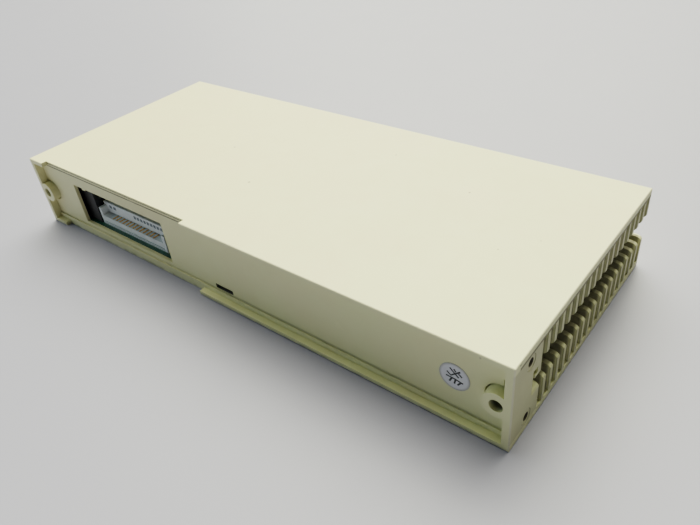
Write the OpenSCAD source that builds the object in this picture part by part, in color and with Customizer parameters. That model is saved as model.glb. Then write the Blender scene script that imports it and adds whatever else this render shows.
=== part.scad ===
// Rack-mounted controller module, lying on one large face.
// X runs along the length, +Y towards the front, +Z up through the thickness.
// The origin is at the middle of the lower face.

/* [Body] */
// Length of the body, end to end
body_l = 250; // [248:1:320]
// Depth of the body, rear edges to front edges
body_d = 106.5; // [96:0.5:140]
// Thickness of the body, over both covers
body_t = 34.5; // [33:0.5:50]
// Thickness of each cover plate
cover_t = 2; // [1.6:0.1:2.6]
// Rounding of the outer edges
edge_r = 0.45; // [0.2:0.05:0.7]
// Gap between pieces that fit into each other
fit_gap = 0.2; // [0.1:0.05:0.3]

/* [End combs] */
// Number of slots in each comb
slot_count = 18; // [12:1:22]
// Thickness of one fin, along the depth
fin_t = 1.7; // [1.2:0.1:2.2]
// How far the fins reach in from the end face
fin_reach = 10; // [8:0.5:12]
// Distance from the rear edges to the first slot
comb_from_rear = 17.6; // [16.5:0.1:24]
// Height of the solid rim under and over the slots
rim_h = 2.9; // [2.7:0.1:3.6]
// Height of the lower fins above the lower face
lower_fin_top = 13.9; // [12:0.1:14.5]
// Length of the upper fins below the upper face
upper_fin_drop = 11.8; // [11:0.1:13]
// Rise of the bevel on the outer corner of a lower fin
fin_bevel_h = 1.1; // [0.5:0.1:2]
// Length of the bevel on the outer corner of a lower fin
fin_bevel_l = 2.4; // [1:0.1:3]
// Thickness of the wall behind the fins
inner_wall_t = 1.5; // [1:0.1:2]

/* [End blocks and mounting] */
// Thickness of the end block's outer wall
end_wall_t = 2.7; // [2.2:0.1:3]
// Depth of the end block
block_d = 12.5; // [11:0.1:14]
// Thickness of the wall that the mounting screw's head bears on
web_t = 3; // [2:0.1:4]
// Distance of the mounting holes from the end faces
mount_from_end = 5; // [5:0.1:5.2]
// Diameter of the mounting holes
mount_hole_d = 4.5; // [4.2:0.1:5]
// Outside diameter of the mounting sleeves
sleeve_d = 9.4; // [8:0.1:9.6]
// Distance of the rivets from the cover faces
rivet_inset = 5.95; // [5:0.05:6.2]
// Distance of the rivets from the rear edges
rivet_from_rear = 10.2; // [9.8:0.1:10.8]
// Head diameter of the rivets
rivet_head_d = 5.6; // [5:0.1:6]
// Head thickness of the rivets
rivet_head_t = 0.7; // [0.5:0.1:1]
// Shank diameter of the rivets
rivet_shank_d = 4.2; // [3.8:0.1:4.4]
// Diameter of the hole in the rivets
rivet_hole_d = 3; // [2:0.1:3.2]

/* [Rear panel] */
// Distance of the rear panel in from the rear edges
rear_recess = 3.35; // [2.5:0.05:4]
// Thickness of the rear panel
rear_panel_t = 1.5; // [1.2:0.1:2]
// Depth of the step along the notched lips
lip_step = 0.7; // [0.5:0.05:0.9]
// Height of the groove along the notched upper lip
lip_groove_h = 0.35; // [0.2:0.05:0.5]
// Depth of the groove along the notched upper lip
lip_groove_d = 0.45; // [0.3:0.05:0.6]
// Height of the rim in front of the rear panel's lower edge
rim_rise = 2.2; // [1.5:0.1:2.4]
// Distance of the lip notches from the end face on the connector's side
notch_from_end = 11; // [9:0.5:14]
// Place where the notch in the upper lip ends
upper_notch_x = -13.5; // [-25:0.5:-8]
// Place where the notch in the lower lip ends
lower_notch_x = -12.5; // [-25:0.5:-8]
// Length of the connector window
window_l = 64.8; // [54:0.1:70]
// Height of the connector window
window_h = 20; // [18:0.1:21]
// Place of the window's middle along the length
window_x = -64.7; // [-66:0.1:-62]
// Length of the small slot
slot_l = 10; // [6:0.5:14]
// Height of the small slot
slot_h = 2.2; // [1.5:0.1:2.4]
// Diameter of the inspection sticker
sticker_d = 10.5; // [8:0.5:12]
// Distance of the sticker's middle from the end face
sticker_from_end = 20.2; // [18:0.1:24]

/* [Backplane connector] */
// Length of the connector housing
plug_l = 48.6; // [44:0.1:54]
// Place of the housing's middle along the length
plug_x = -63.9; // [-66:0.1:-62]
// Depth of the whole housing
plug_d = 13; // [11:0.5:16]
// Depth of the low front part
plug_front_d = 3.2; // [2:0.1:4]
// Height of the low front part
plug_front_h = 8.6; // [8:0.1:9]
// Height of the deep part
plug_h = 10.4; // [9.8:0.1:12]
// Distance of the housing's face behind the rear panel's face
plug_recess = 3.5; // [3.2:0.1:5]
// Number of contacts
contact_count = 13; // [6:1:15]
// Spacing of the contacts
contact_pitch = 2.54; // [2:0.01:2.54]

/* [Boards] */
// Thickness of the printed boards
board_t = 1.6; // [1.2:0.1:2]
// Height of the main board above the lower cover plate
board_lift = 2.8; // [2.6:0.1:3.6]
// Height of the spacers between the boards
spacer_h = 12; // [11:0.5:14]
// Length of the input board
io_board_l = 96; // [90:1:110]
// Depth of the input board
io_board_d = 66; // [60:1:70]
// Major diameter of the board screws
screw_d = 2.6; // [2:0.1:3]

/* [Front] */
// Thickness of the front panel
front_panel_t = 2; // [1.5:0.1:2.5]
// Distance of the front panel in from the front edges
front_recess = 2; // [1.5:0.1:3]
// Diameter of the rotary switch dials
dial_d = 7; // [6:0.1:8.4]
// Running clearance of the dials in their bodies
dial_clear = 0.08; // [0.05:0.01:0.1]
// Travel of one mode switch slider
slider_travel = 1.8; // [1.2:0.1:2]
// Travel of the reset button
button_travel = 1; // [0.5:0.1:1.2]
// Distance between the jack nuts of the front connector
jack_pitch = 47.04; // [46:0.01:48]
// Diameter of the holes in the jack nuts
jack_hole_d = 2.6; // [2.4:0.1:3]

/* [Hidden] */
$fn = 48;

case_colour = "#e4e1ca";
board_colour = "#1f5a3c";
chip_colour = "#26262a";
metal_colour = "#b9bbbd";
gold_colour = "#c9a24a";

// Reference planes and places worked out from the sizes above
x_end = body_l / 2;
y_front = body_d / 2;
y_rear = -body_d / 2;
z_mid = body_t / 2;
z_under_top = body_t - cover_t;
x_comb = x_end - fin_reach;
x_inside = x_comb - inner_wall_t;
z_upper_fin = body_t - upper_fin_drop;
x_mount = x_end - mount_from_end;
y_comb = y_rear + comb_from_rear;
y_block = y_rear + block_d;
y_rivet = y_rear + rivet_from_rear;
root_t = 3.5;
lug_wall = 1.3;
rivet_clear = 0.1;
shelf_t = 3;
z_low_shelf = lower_fin_top - shelf_t;
z_high_shelf = z_upper_fin + shelf_t / 2;
comb_pitch = (y_front - y_comb) / slot_count;
y_panel = y_rear + rear_recess;
y_panel_in = y_panel + rear_panel_t;
x_block_in = x_end - end_wall_t;
tongue_t = 0.8;

y_front_panel = y_front - front_recess - front_panel_t;
y_front_face = y_front - front_recess;

z_board = cover_t + board_lift;
z_on_board = z_board + board_t;
board_edge_gap = 0.3;
y_board_rear = y_panel_in + board_edge_gap;
y_board_front = y_front_panel - board_edge_gap;
x_board = x_inside - board_edge_gap;
z_io = z_on_board + spacer_h;
z_on_io = z_io + board_t;

window_z = z_on_board - 0.1;
window_tab = [2.2, 0.8];
window_tab_from_end = 7;
shoulder_h = 0.9;
slot_lift = 0.5;
sleeve_clear = 0.6;
slit_w = 1.6;
slit_h = 8;

y_plug = y_panel + plug_recess;
plug_wall = 1.7;
bed_h = 4.6;
groove_z = 1.3;
groove_h = 0.6;
groove_d = 1.2;
contact_w = 0.7;
contact_t = 0.25;
contact_l = 8;
contact_slot_h = 0.6;
contact_leg_w = 0.5;
contact_leg_l = 2;
contact_leg_z = 2;
// Place of a contact's middle along X
function contact_x(k) = plug_x + (k - (contact_count - 1) / 2) * contact_pitch;

// Places of the main board's screws, clear of the parts on it
screw_inset = 6;
screw_front_inset = 13;
screw_mid_x = -15;
screw_left_y = -12;
x_screw = x_board - screw_inset;
y_screw_rear = y_board_rear + screw_inset;
y_screw_front = y_board_front - screw_front_inset;
board_screw_at = [
  [-x_screw, screw_left_y], [screw_mid_x, y_screw_rear], [x_screw, y_screw_rear],
  [-x_screw, y_screw_front], [screw_mid_x, y_screw_front], [x_screw, y_screw_front]
];
standoff_d = 6;
screw_hole_depth = 0.8;
thread_clear = 0.1;
screw_clear = 0.6;

// Input board's place and its spacers
io_board_x = 56;
io_board_y = -7;
spacer_inset = 5;
spacer_af = 5.5;
spacer_at = [for (x = [-1, 1], y = [-1, 1])
  [io_board_x + x * (io_board_l / 2 - spacer_inset), io_board_y + y * (io_board_d / 2 - spacer_inset)]];

// Front controls, from the light window at the left to the connector at the right
front_board_gap = 5.2;
y_front_board = y_front_panel - front_board_gap - board_t;
front_board_x = [-x_inside + 5.5, 12];
z_front_board = z_on_board + 0.8;
front_board_h = z_under_top - z_on_board - 2.4;
light_window_x = -x_inside + 29.5;
light_window_size = [40, 16];
light_grid = [8, 2];
light_pitch = [4.4, 6];
light_d = 3;
light_h = 2.6;
dial_x = [-33, -50];
dial_body_w = 10;
dial_t = 3.4;
dial_ring_w = 1;
dial_lift = 0.1;
dial_sink = 0.6;
dial_slot = [0.9, 1.1];
dial_slot_end = 0.8;
dial_notch = [1.8, 1.3, 0.6];
mode_x = -13;
mode_size = [11.7, 6.6];
mode_pitch = 2.54;
mode_sink = 0.3;
mode_face = y_front_face - mode_sink;
slider_size = [1.1, 1.3];
slider_clear = 0.25;
slider_depth = 1.2;
slider_proud = 0.9;
reset_x = 4;
reset_body_w = 6;
reset_sink = 0.6;
reset_bore = 2.6;
button_d = 3.6;
button_clear = 0.3;
label_x = x_inside - 15.5;
label_size = [20, 22];
label_t = 0.15;
io_x = 60;
shell_t = 0.5;
shell_l = 38.96;
shell_h = 8.36;
shell_slant = 10;
flange_size = [53, 12.5];
flange_t = 0.8;
shell_end = 0.3;
insulator_back = 10;
insulator_sink = 1.2;
y_io_face = y_front - insulator_sink;
insulator_clear = 0.25;
io_contact_pitch = 2.76;
io_row_pitch = 2.84;
io_contact_d = 1.1;
io_contact_hole_d = 0.6;
io_contact_l = 4;
jack_af = 5;
jack_x = [io_x - jack_pitch / 2, io_x + jack_pitch / 2];
jack_sink = 0.4;
jack_shank_d = 3;
jack_shank_l = 9;
jack_hole_l = 5;
jack_clear_d = 6.6;

// Parts on the main board: their places, sizes and spacings
pin_pitch = 2.54;
narrow_rows = 7.62;
wide_rows = 15.24;
chip_seat = 0.5;
chip_leg = [0.6, 0.3];
chip_side = 0.7;
logic_x = [-46, -20];
logic_y = [-24, -11, 2];
logic_pins = 16;
logic_t = 3.4;
wide_pins = 28;
wide_t = 3.8;
processor_at = [-78, -2];
memory_at = [-40, 22];
socket_size = [36, 17.2, 4.2];
socket_window = [30, 10];
memory_glass = [7, 0.4];
crystal_at = [-66, 20];
crystal_size = [11, 4.6, 3.6];
crystal_r = 2.2;
capacitor_d = 8;
capacitor_h = 11.5;
capacitor_rim = [0.4, 0.4];
capacitor_y = [-3, 7, 17, 27];
bypass_size = [4.4, 2.4, 4.2];
bypass_y = [-17.5, -4.5, 8.5];
network_x = -2;
network_y = [-40, -35, -30];
network_size = [20, 2.2, 5];
network_lift = 0.4;
network_pins = 8;
network_leg = [0.5, 0.3];
converter_size = [22, 30, 18];
converter_gap = [2, 1.5];
choke_at = [-84, 24];
choke_lift = 0.8;
choke_r = 4;
choke_w = 4;
choke_h = 6;
choke_turns = 10;
choke_wire = 0.7;
choke_wire_gap = 0.1;

// Parts between the boards and on the input board
stack_at = [56, -30];
stack_size = [44, 5];
stack_pins = 17;
stack_pin_w = 0.64;
stack_pin_h = 0.35;
stack_split = 0.45;
stack_gap = 0.2;
stack_hole = [0.84, 0.4];
spacer_thread_l = 6;
coupler_x = [21 : 14 : 91];
coupler_y = [10, -4];
coupler_pins = 8;
driver_x = [20 : 8.5 : 90];
driver_y = -20;
driver_size = [4.6, 3.6, 4.6];
driver_lift = 1;
driver_leg = 0.4;
driver_leg_pitch = 1.27;

// Box between two opposite corners
module block(low, high) {
  translate(low) cube(high - low);
}

// Cylinder along Y from y0 to y1
module rod_y(x, z, d, y0, y1) {
  translate([x, y1, z]) rotate([90, 0, 0]) cylinder(d = d, h = y1 - y0);
}

// Cylinder along X from x0 to x1
module rod_x(y, z, d, x0, x1) {
  translate([x0, y, z]) rotate([0, 90, 0]) cylinder(d = d, h = x1 - x0);
}

// Both ends of the body
module both_ends() {
  children();
  mirror([1, 0, 0]) children();
}

// Rectangle with round corners, centred
module round_rect(w, h, r) {
  square([w - 2 * r, h], center = true);
  square([w, h - 2 * r], center = true);
  for (x = [-1, 1], y = [-1, 1]) translate([x * (w / 2 - r), y * (h / 2 - r)]) circle(r);
}

// Outer shape that every outside piece is cut to, with its edges rounded
module envelope() {
  intersection() {
    translate([-x_end, 0, z_mid]) rotate([90, 0, 90])
      linear_extrude(body_l) round_rect(body_d, body_t, edge_r);
    translate([0, y_front, z_mid]) rotate([90, 0, 0])
      linear_extrude(body_d) round_rect(body_l, body_t, edge_r);
    linear_extrude(body_t) round_rect(body_l, body_d, edge_r);
  }
}

// Hole in a panel that faces front, cut right through
module panel_hole(x, z, w, h) {
  block([x - w / 2, y_front_panel - 1, z - h / 2], [x + w / 2, y_front_face + 1, z + h / 2]);
}

// ---- Covers ----

// Fins of one comb, from z0 to z1
module fins(z0, z1) {
  for (k = [1 : slot_count]) {
    y = y_comb + k * comb_pitch;
    block([x_comb, y - fin_t, z0], [x_end, y, z1]);
  }
}

// Bevel along the outer top corner of the lower fins and of the end block's lower shelf
module lower_fin_bevel() {
  translate([0, y_front + 1, 0]) rotate([90, 0, 0]) linear_extrude(y_front - y_block + 1)
    polygon([
      [x_end - fin_bevel_l, lower_fin_top], [x_end - fin_bevel_l / 3, lower_fin_top - fin_bevel_h / 3],
      [x_end, lower_fin_top - fin_bevel_h], [x_end + 1, lower_fin_top - fin_bevel_h],
      [x_end + 1, lower_fin_top + 1], [x_end - fin_bevel_l, lower_fin_top + 1]
    ]);
}

// Bevel along the outer lower corner of the upper fins
module upper_fin_bevel() {
  bevel = 0.8;
  translate([0, y_front + 1, 0]) rotate([90, 0, 0]) linear_extrude(y_front - y_comb + 1)
    polygon([
      [x_end - bevel, z_upper_fin], [x_end, z_upper_fin + bevel],
      [x_end + 1, z_upper_fin + bevel], [x_end + 1, z_upper_fin - 1], [x_end - bevel, z_upper_fin - 1]
    ]);
}

// Lug behind the end block's wall that a rivet holds, between two heights
module rivet_lug(z0, z1) {
  block([x_comb, y_rivet - rivet_shank_d / 2 - lug_wall, z0],
    [x_block_in - fit_gap, y_comb - root_t - fit_gap, z1]);
}

// Clearance around a rivet's shank, at a height
module rivet_bore(z) {
  rod_x(y_rivet, z, rivet_shank_d + rivet_clear, x_comb - 1, x_end + 1);
}

// Cut that takes the lip back to the step, along the notched stretch
module lip_notch(x1, z0, z1) {
  block([-x_end + notch_from_end, y_rear - 1, z0], [x1, y_panel - lip_step, z1]);
}

// Cut along the middle of the upper lip's face, on the notched stretch
module lip_groove() {
  y = y_panel - lip_step;
  z = (z_under_top + body_t - lip_groove_h) / 2;
  block([-x_end + notch_from_end, y - 1, z], [upper_notch_x, y + lip_groove_d, z + lip_groove_h]);
}

// Places of the main board's screws, at a height
module at_board_screws(z) {
  for (p = board_screw_at) translate([p.x, p.y, z]) children();
}

// Posts under the main board, rooted in the lower cover plate
module standoffs() {
  root = 0.2;
  at_board_screws(cover_t - root) cylinder(d = standoff_d, h = board_lift + root);
}

module bottom_cover() {
  color(case_colour) difference() {
    intersection() {
      envelope();
      union() {
        block([-x_end, y_rear, 0], [x_end, y_front, cover_t]);
        both_ends() {
          block([x_comb, y_comb, 0], [x_end, y_front, rim_h]);
          fins(0, lower_fin_top);
          block([x_inside, y_panel_in + fit_gap, 0], [x_comb, y_front, z_mid - fit_gap / 2]);
          rivet_lug(0, z_low_shelf - fit_gap);
        }
        block([-x_block_in + fit_gap, y_panel - lip_step, 0],
          [x_block_in - fit_gap, y_panel - fit_gap / 2, cover_t + rim_rise]);
        standoffs();
      }
    }
    both_ends() {
      lower_fin_bevel();
      rivet_bore(rivet_inset);
    }
    lip_notch(lower_notch_x, -1, cover_t + rim_rise + 1);
    at_board_screws(cover_t - screw_hole_depth) cylinder(d = screw_d + thread_clear, h = body_t);
  }
}

module top_cover() {
  color(case_colour) difference() {
    intersection() {
      envelope();
      union() {
        block([-x_end, y_rear, z_under_top], [x_end, y_front, body_t]);
        both_ends() {
          block([x_comb, y_comb, body_t - rim_h], [x_end, y_front, body_t]);
          difference() {
            fins(z_upper_fin, body_t);
            upper_fin_bevel();
          }
          block([x_inside, y_panel_in + fit_gap, z_mid + fit_gap / 2], [x_comb, y_front, body_t]);
          rivet_lug(z_high_shelf + fit_gap, body_t);
        }
      }
    }
    both_ends() rivet_bore(body_t - rivet_inset);
    lip_notch(upper_notch_x, z_under_top - 1, body_t + 1);
    lip_groove();
  }
}

// ---- End blocks ----

// Hooked tab that hangs into the channel beside the first slot
module hook_tab() {
  tab_w = 2.05;
  tab_t = 3;
  foot_l = 1.8;
  foot_h = 1.1;
  z0 = z_upper_fin - 3.6;
  block([x_end - tab_t, y_comb - tab_w, z0], [x_end, y_comb, z_upper_fin + 1]);
  block([x_end - tab_t, y_comb - tab_w - foot_l, z0], [x_end, y_comb, z0 + foot_h]);
}

// Outer wall, sleeve and the two shelves that end the screwdriver channel
module end_block() {
  difference() {
    intersection() {
      envelope();
      union() {
        difference() {
          union() {
            block([x_block_in, y_rear, cover_t], [x_end, y_comb, z_under_top]);
            block([x_comb, y_block - web_t, z_low_shelf], [x_end, y_comb, z_high_shelf]);
            block([x_comb, y_comb - root_t, cover_t], [x_end, y_comb, z_under_top]);
          }
          block([x_comb - 1, y_block, lower_fin_top], [x_end + 1, y_comb + 1, z_upper_fin]);
          lower_fin_bevel();
        }
        rod_y(x_mount, z_mid, sleeve_d, y_rear, y_block);
        hook_tab();
      }
    }
    rod_y(x_mount, z_mid, mount_hole_d, y_rear - 1, y_block + 1);
    for (z = [rivet_inset, body_t - rivet_inset]) {
      rivet_bore(z);
      rod_x(y_rivet, z, rivet_head_d + rivet_clear, x_end - rivet_head_t, x_end + 1);
    }
  }
}

module end_block_left() {
  color(case_colour) mirror([1, 0, 0]) end_block();
}

module end_block_right() {
  color(case_colour) end_block();
}

module cover_rivets() {
  head_sink = 0.15;
  shank_gap = 1.5;
  hole_gap = 3;
  color(case_colour) both_ends() for (z = [rivet_inset, body_t - rivet_inset]) {
    difference() {
      union() {
        rod_x(y_rivet, z, rivet_head_d, x_end - rivet_head_t, x_end - head_sink);
        rod_x(y_rivet, z, rivet_shank_d, x_comb + shank_gap, x_end - rivet_head_t + 0.1);
      }
      rod_x(y_rivet, z, rivet_hole_d, x_comb + hole_gap, x_end + 1);
    }
  }
}

// ---- Panels ----

// Window for the backplane's connector, with the small tab that hangs from its upper edge
module connector_window() {
  x0 = window_x - window_l / 2;
  z1 = window_z + window_h;
  tab_x = x0 + window_tab_from_end;
  difference() {
    block([x0, y_panel - 1, window_z], [window_x + window_l / 2, y_panel_in + 1, z1]);
    block([tab_x, y_panel, z1 - window_tab.y], [tab_x + window_tab.x, y_panel_in, z1]);
  }
}

module rear_panel() {
  x_edge = x_block_in - fit_gap;
  z0 = cover_t + fit_gap / 2;
  z_shoulder = z_under_top - shoulder_h;
  z_slot = cover_t + rim_rise + slot_lift;
  color(case_colour) difference() {
    union() {
      block([-x_edge, y_panel, z0], [x_edge, y_panel_in, z_shoulder]);
      block([-x_edge, y_panel_in - tongue_t, z0], [x_edge, y_panel_in, z_under_top - fit_gap / 2]);
    }
    connector_window();
    both_ends() rod_y(x_mount, z_mid, sleeve_d + 2 * sleeve_clear, y_panel - 1, y_panel_in + 1);
    block([x_edge - slit_w, y_panel - 1, z_mid], [x_edge + 1, y_panel_in + 1, z_mid + slit_h]);
    block([-slot_l / 2, y_panel - 1, z_slot], [slot_l / 2, y_panel_in + 1, z_slot + slot_h]);
  }
}

module inspection_sticker() {
  sticker_t = 0.12;
  color("white") rod_y(x_end - sticker_from_end, z_mid, sticker_d, y_panel - sticker_t, y_panel);
}

// D-shaped outline of the front connector, wider at the top
module d_outline(grow) {
  half_l = shell_l / 2 + grow;
  half_h = shell_h / 2 + grow;
  slant = 2 * half_h * tan(shell_slant);
  polygon([[-half_l, half_h], [half_l, half_h], [half_l - slant, -half_h], [-half_l + slant, -half_h]]);
}

// Solid along Y with the D-shaped outline
module d_bar(grow, y0, y1) {
  translate([io_x, y1, z_mid]) rotate([90, 0, 0]) linear_extrude(y1 - y0) d_outline(grow);
}

module front_panel() {
  x_edge = x_inside - fit_gap;
  color(case_colour) difference() {
    block([-x_edge, y_front_panel, cover_t + fit_gap], [x_edge, y_front_face, z_under_top - fit_gap]);
    panel_hole(light_window_x, z_mid, light_window_size.x, light_window_size.y);
    for (x = dial_x) rod_y(x, z_mid, dial_d + 2 * dial_ring_w, y_front_panel - 1, y_front_face + 1);
    panel_hole(mode_x, z_mid, mode_size.x + 2 * fit_gap, mode_size.y + 2 * fit_gap);
    rod_y(reset_x, z_mid, button_d + 2 * button_clear, y_front_panel - 1, y_front_face + 1);
    d_bar(shell_t + fit_gap, y_front_panel - 1, y_front_face + 1);
    for (x = jack_x) rod_y(x, z_mid, jack_clear_d, y_front_panel - 1, y_front_face + 1);
  }
}

// Tinted plate with a lip behind the panel
module light_window() {
  lip = 1.2;
  lip_t = 0.8;
  sink = 0.3;
  w = light_window_size.x;
  h = light_window_size.y;
  color("#6b2f2a") union() {
    panel_plate(light_window_x, w - 2 * fit_gap, h - 2 * fit_gap, y_front_panel, y_front_face - sink);
    panel_plate(light_window_x, w + 2 * lip, h + 2 * lip, y_front_panel - lip_t, y_front_panel);
  }
}

// Plate that faces front, centred at mid thickness
module panel_plate(x, w, h, y0, y1) {
  block([x - w / 2, y0, z_mid - h / 2], [x + w / 2, y1, z_mid + h / 2]);
}

module blank_label() {
  color("white") panel_plate(label_x, label_size.x, label_size.y, y_front_face, y_front_face + label_t);
}

module insulation_sheet() {
  sheet_t = 0.3;
  inset = 2;
  color("#303032") difference() {
    block([-x_board + inset, y_board_rear + inset, cover_t],
      [x_board - inset, y_board_front - inset, cover_t + sheet_t]);
    at_board_screws(cover_t - 1) cylinder(d = standoff_d + 1, h = sheet_t + 2);
  }
}

// ---- Main board ----

module main_board() {
  slot_relief = [slot_l + 4, 3];
  y_leg_hole = y_plug + plug_d + contact_leg_l - contact_leg_w / 2;
  color(board_colour) difference() {
    block([-x_board, y_board_rear, z_board], [x_board, y_board_front, z_on_board]);
    at_board_screws(z_board - 1) cylinder(d = screw_d + screw_clear, h = board_t + 2);
    block([-slot_relief.x / 2, y_board_rear - 1, z_board - 1],
      [slot_relief.x / 2, y_board_rear + slot_relief.y, z_on_board + 1]);
    for (k = [0 : contact_count - 1]) translate([contact_x(k), y_leg_hole, z_board - 1])
      cylinder(d = contact_leg_w + 0.4, h = board_t + 2);
  }
}

// Pan-head screw with a cross recess, its head's underside at the origin and its shank below
module pan_screw(shank_l) {
  head_d = screw_d * 1.9;
  head_h = screw_d * 0.62;
  rim_share = 0.7;
  recess = [screw_d * 1.1, 0.6, 1];
  difference() {
    union() {
      cylinder(d = head_d, h = head_h * rim_share);
      translate([0, 0, head_h * rim_share])
        cylinder(d1 = head_d, d2 = head_d * 0.72, h = head_h * (1 - rim_share));
      translate([0, 0, -shank_l]) cylinder(d = screw_d, h = shank_l + 0.1);
    }
    for (a = [0, 90]) rotate([0, 0, a]) translate([-recess.x / 2, -recess.y / 2, head_h - recess.z])
      cube([recess.x, recess.y, recess.z + 1]);
  }
}

module main_board_screws() {
  shank_l = board_t + board_lift + screw_hole_depth - 0.2;
  color(metal_colour) at_board_screws(z_on_board) pan_screw(shank_l);
}

// Housing with an open bed of contacts in front of its tall part
module backplane_connector() {
  x0 = plug_x - plug_l / 2;
  x1 = plug_x + plug_l / 2;
  z0 = z_on_board;
  z_bed = z0 + bed_h;
  y_step = y_plug + plug_front_d;
  color("#e8eaea") difference() {
    union() {
      block([x0, y_plug, z0], [x1, y_step + 0.1, z0 + plug_front_h]);
      block([x0, y_step, z0], [x1, y_plug + plug_d, z0 + plug_h]);
    }
    block([x0 + plug_wall, y_plug - 1, z_bed], [x1 - plug_wall, y_step, z0 + plug_h + 1]);
    block([x0 + plug_wall, y_step - 1, z_bed],
      [x1 - plug_wall, y_plug + contact_l, z_bed + contact_slot_h]);
    block([x0 + plug_wall, y_plug - 1, z0 + groove_z],
      [x1 - plug_wall, y_plug + groove_d, z0 + groove_z + groove_h]);
  }
}

// Flat contacts on the bed, each with a bent leg that goes down through the board
module backplane_contacts() {
  front_gap = 0.3;
  below = 1;
  w = contact_w / 2;
  leg = contact_leg_w;
  z = z_on_board + bed_h;
  z_leg = z_on_board + contact_leg_z;
  y_back = y_plug + plug_d;
  y_leg = y_back + contact_leg_l;
  color(gold_colour) for (k = [0 : contact_count - 1]) translate([contact_x(k), 0, 0]) {
    block([-w, y_plug + front_gap, z], [w, y_plug + contact_l, z + contact_t]);
    block([-leg / 2, y_back, z_leg], [leg / 2, y_leg, z_leg + leg]);
    block([-leg / 2, y_leg - leg, z_board - below], [leg / 2, y_leg, z_leg]);
  }
}

// Dual-in-line package with its legs, seated on a board at height z
module dip_package(x, y, z, pins, row_gap, thick) {
  body_len = pins / 2 * pin_pitch - 0.4;
  body_y = row_gap / 2 - chip_side;
  z_shoulder = z + chip_seat + thick * 0.4;
  block([x - body_len / 2, y - body_y, z + chip_seat],
    [x + body_len / 2, y + body_y, z + chip_seat + thick]);
  for (k = [0 : pins / 2 - 1], s = [-1, 1]) {
    leg_x = x + (k - (pins / 2 - 1) / 2) * pin_pitch;
    y_out = y + s * row_gap / 2;
    y_foot = y_out - s * chip_leg[1];
    y_root = y_out - s * (chip_side + 0.2);
    block([leg_x - chip_leg[0] / 2, min(y_out, y_root), z_shoulder],
      [leg_x + chip_leg[0] / 2, max(y_out, y_root), z_shoulder + chip_leg[1]]);
    block([leg_x - chip_leg[0] / 2, min(y_out, y_foot), z],
      [leg_x + chip_leg[0] / 2, max(y_out, y_foot), z_shoulder + chip_leg[1]]);
  }
}

module logic_chips() {
  color(chip_colour) for (x = logic_x, y = logic_y)
    dip_package(x, y, z_on_board, logic_pins, narrow_rows, logic_t);
}

module processor_chip() {
  color(chip_colour) dip_package(processor_at.x, processor_at.y, z_on_board, wide_pins, wide_rows, wide_t);
}

module memory_socket() {
  color("#1d1d20") translate([memory_at.x, memory_at.y, z_on_board]) difference() {
    translate([-socket_size.x / 2, -socket_size.y / 2, 0]) cube(socket_size);
    translate([-socket_window.x / 2, -socket_window.y / 2, -1])
      cube([socket_window.x, socket_window.y, socket_size.z + 2]);
  }
}

// Memory chip with its round glass sunk into the top
module memory_chip() {
  z = z_on_board + socket_size.z;
  color(chip_colour) difference() {
    dip_package(memory_at.x, memory_at.y, z, wide_pins, wide_rows, wide_t);
    translate([memory_at.x, memory_at.y, z + chip_seat + wide_t - memory_glass[1]])
      cylinder(d = memory_glass[0], h = 1);
  }
}

module clock_crystal() {
  color(metal_colour) translate([crystal_at.x, crystal_at.y, z_on_board])
    linear_extrude(crystal_size.z) round_rect(crystal_size.x, crystal_size.y, crystal_r);
}

module filter_capacitors() {
  x = -x_board + capacitor_d;
  color("#22304f") for (y = capacitor_y) translate([x, y, z_on_board]) {
    cylinder(d = capacitor_d, h = capacitor_h);
    translate([0, 0, capacitor_h - 0.1])
      cylinder(d1 = capacitor_d, d2 = capacitor_d - 2 * capacitor_rim[0], h = capacitor_rim[1] + 0.1);
  }
}

module bypass_capacitors() {
  color("#b86f2c") for (x = logic_x, y = bypass_y)
    translate([x - bypass_size.x / 2, y - bypass_size.y / 2, z_on_board]) cube(bypass_size);
}

module resistor_networks() {
  size = network_size;
  leg = network_leg;
  color("#7a2f22") for (y = network_y) translate([network_x, y, z_on_board]) {
    translate([-size.x / 2, -size.y / 2, network_lift]) cube(size);
    for (k = [0 : network_pins - 1])
      translate([(k - (network_pins - 1) / 2) * pin_pitch - leg[0] / 2, -leg[1] / 2, 0])
        cube([leg[0], leg[1], network_lift + 0.1]);
  }
}

module power_converter() {
  color("#18181a") translate([-x_board + converter_gap.x, y_board_rear + converter_gap.y, z_on_board])
    cube(converter_size);
}

// Place of the choke on the main board
module at_choke() {
  translate([choke_at.x, choke_at.y, z_on_board + choke_lift]) children();
}

module choke_core() {
  color("#3a3f45") at_choke() rotate_extrude() translate([choke_r, 0]) square([choke_w, choke_h]);
}

// Turns of wire around the choke's core, as closed square rings
module choke_winding() {
  wire = choke_wire;
  gap = choke_wire_gap;
  color("#a5592b") at_choke() for (k = [0 : choke_turns - 1])
    rotate([0, 0, k * 360 / choke_turns]) translate([0, -wire / 2, 0]) difference() {
      translate([choke_r - wire, 0, -wire]) cube([choke_w + 2 * wire, wire, choke_h + 2 * wire]);
      translate([choke_r - gap, -1, -gap]) cube([choke_w + 2 * gap, wire + 2, choke_h + 2 * gap]);
    }
}

// ---- Input board ----

// Places of the stacking connector's two rows of pins
module stack_pin_places() {
  for (k = [0 : stack_pins - 1], s = [-1, 1]) {
    x = stack_at.x + (k - (stack_pins - 1) / 2) * pin_pitch;
    translate([x, stack_at.y + s * pin_pitch / 2, 0]) children();
  }
}

// Body of the stacking connector between two heights
module stack_bar(z0, z1) {
  block([stack_at.x - stack_size.x / 2, stack_at.y - stack_size.y / 2, z0],
    [stack_at.x + stack_size.x / 2, stack_at.y + stack_size.y / 2, z1]);
}

module stack_header() {
  z1 = z_on_board + spacer_h * stack_split;
  w = stack_pin_w;
  color("#1d1d20") stack_bar(z_on_board, z1);
  color(gold_colour) stack_pin_places()
    translate([-w / 2, -w / 2, z1 - 0.1]) cube([w, w, spacer_h * stack_pin_h]);
}

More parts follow.
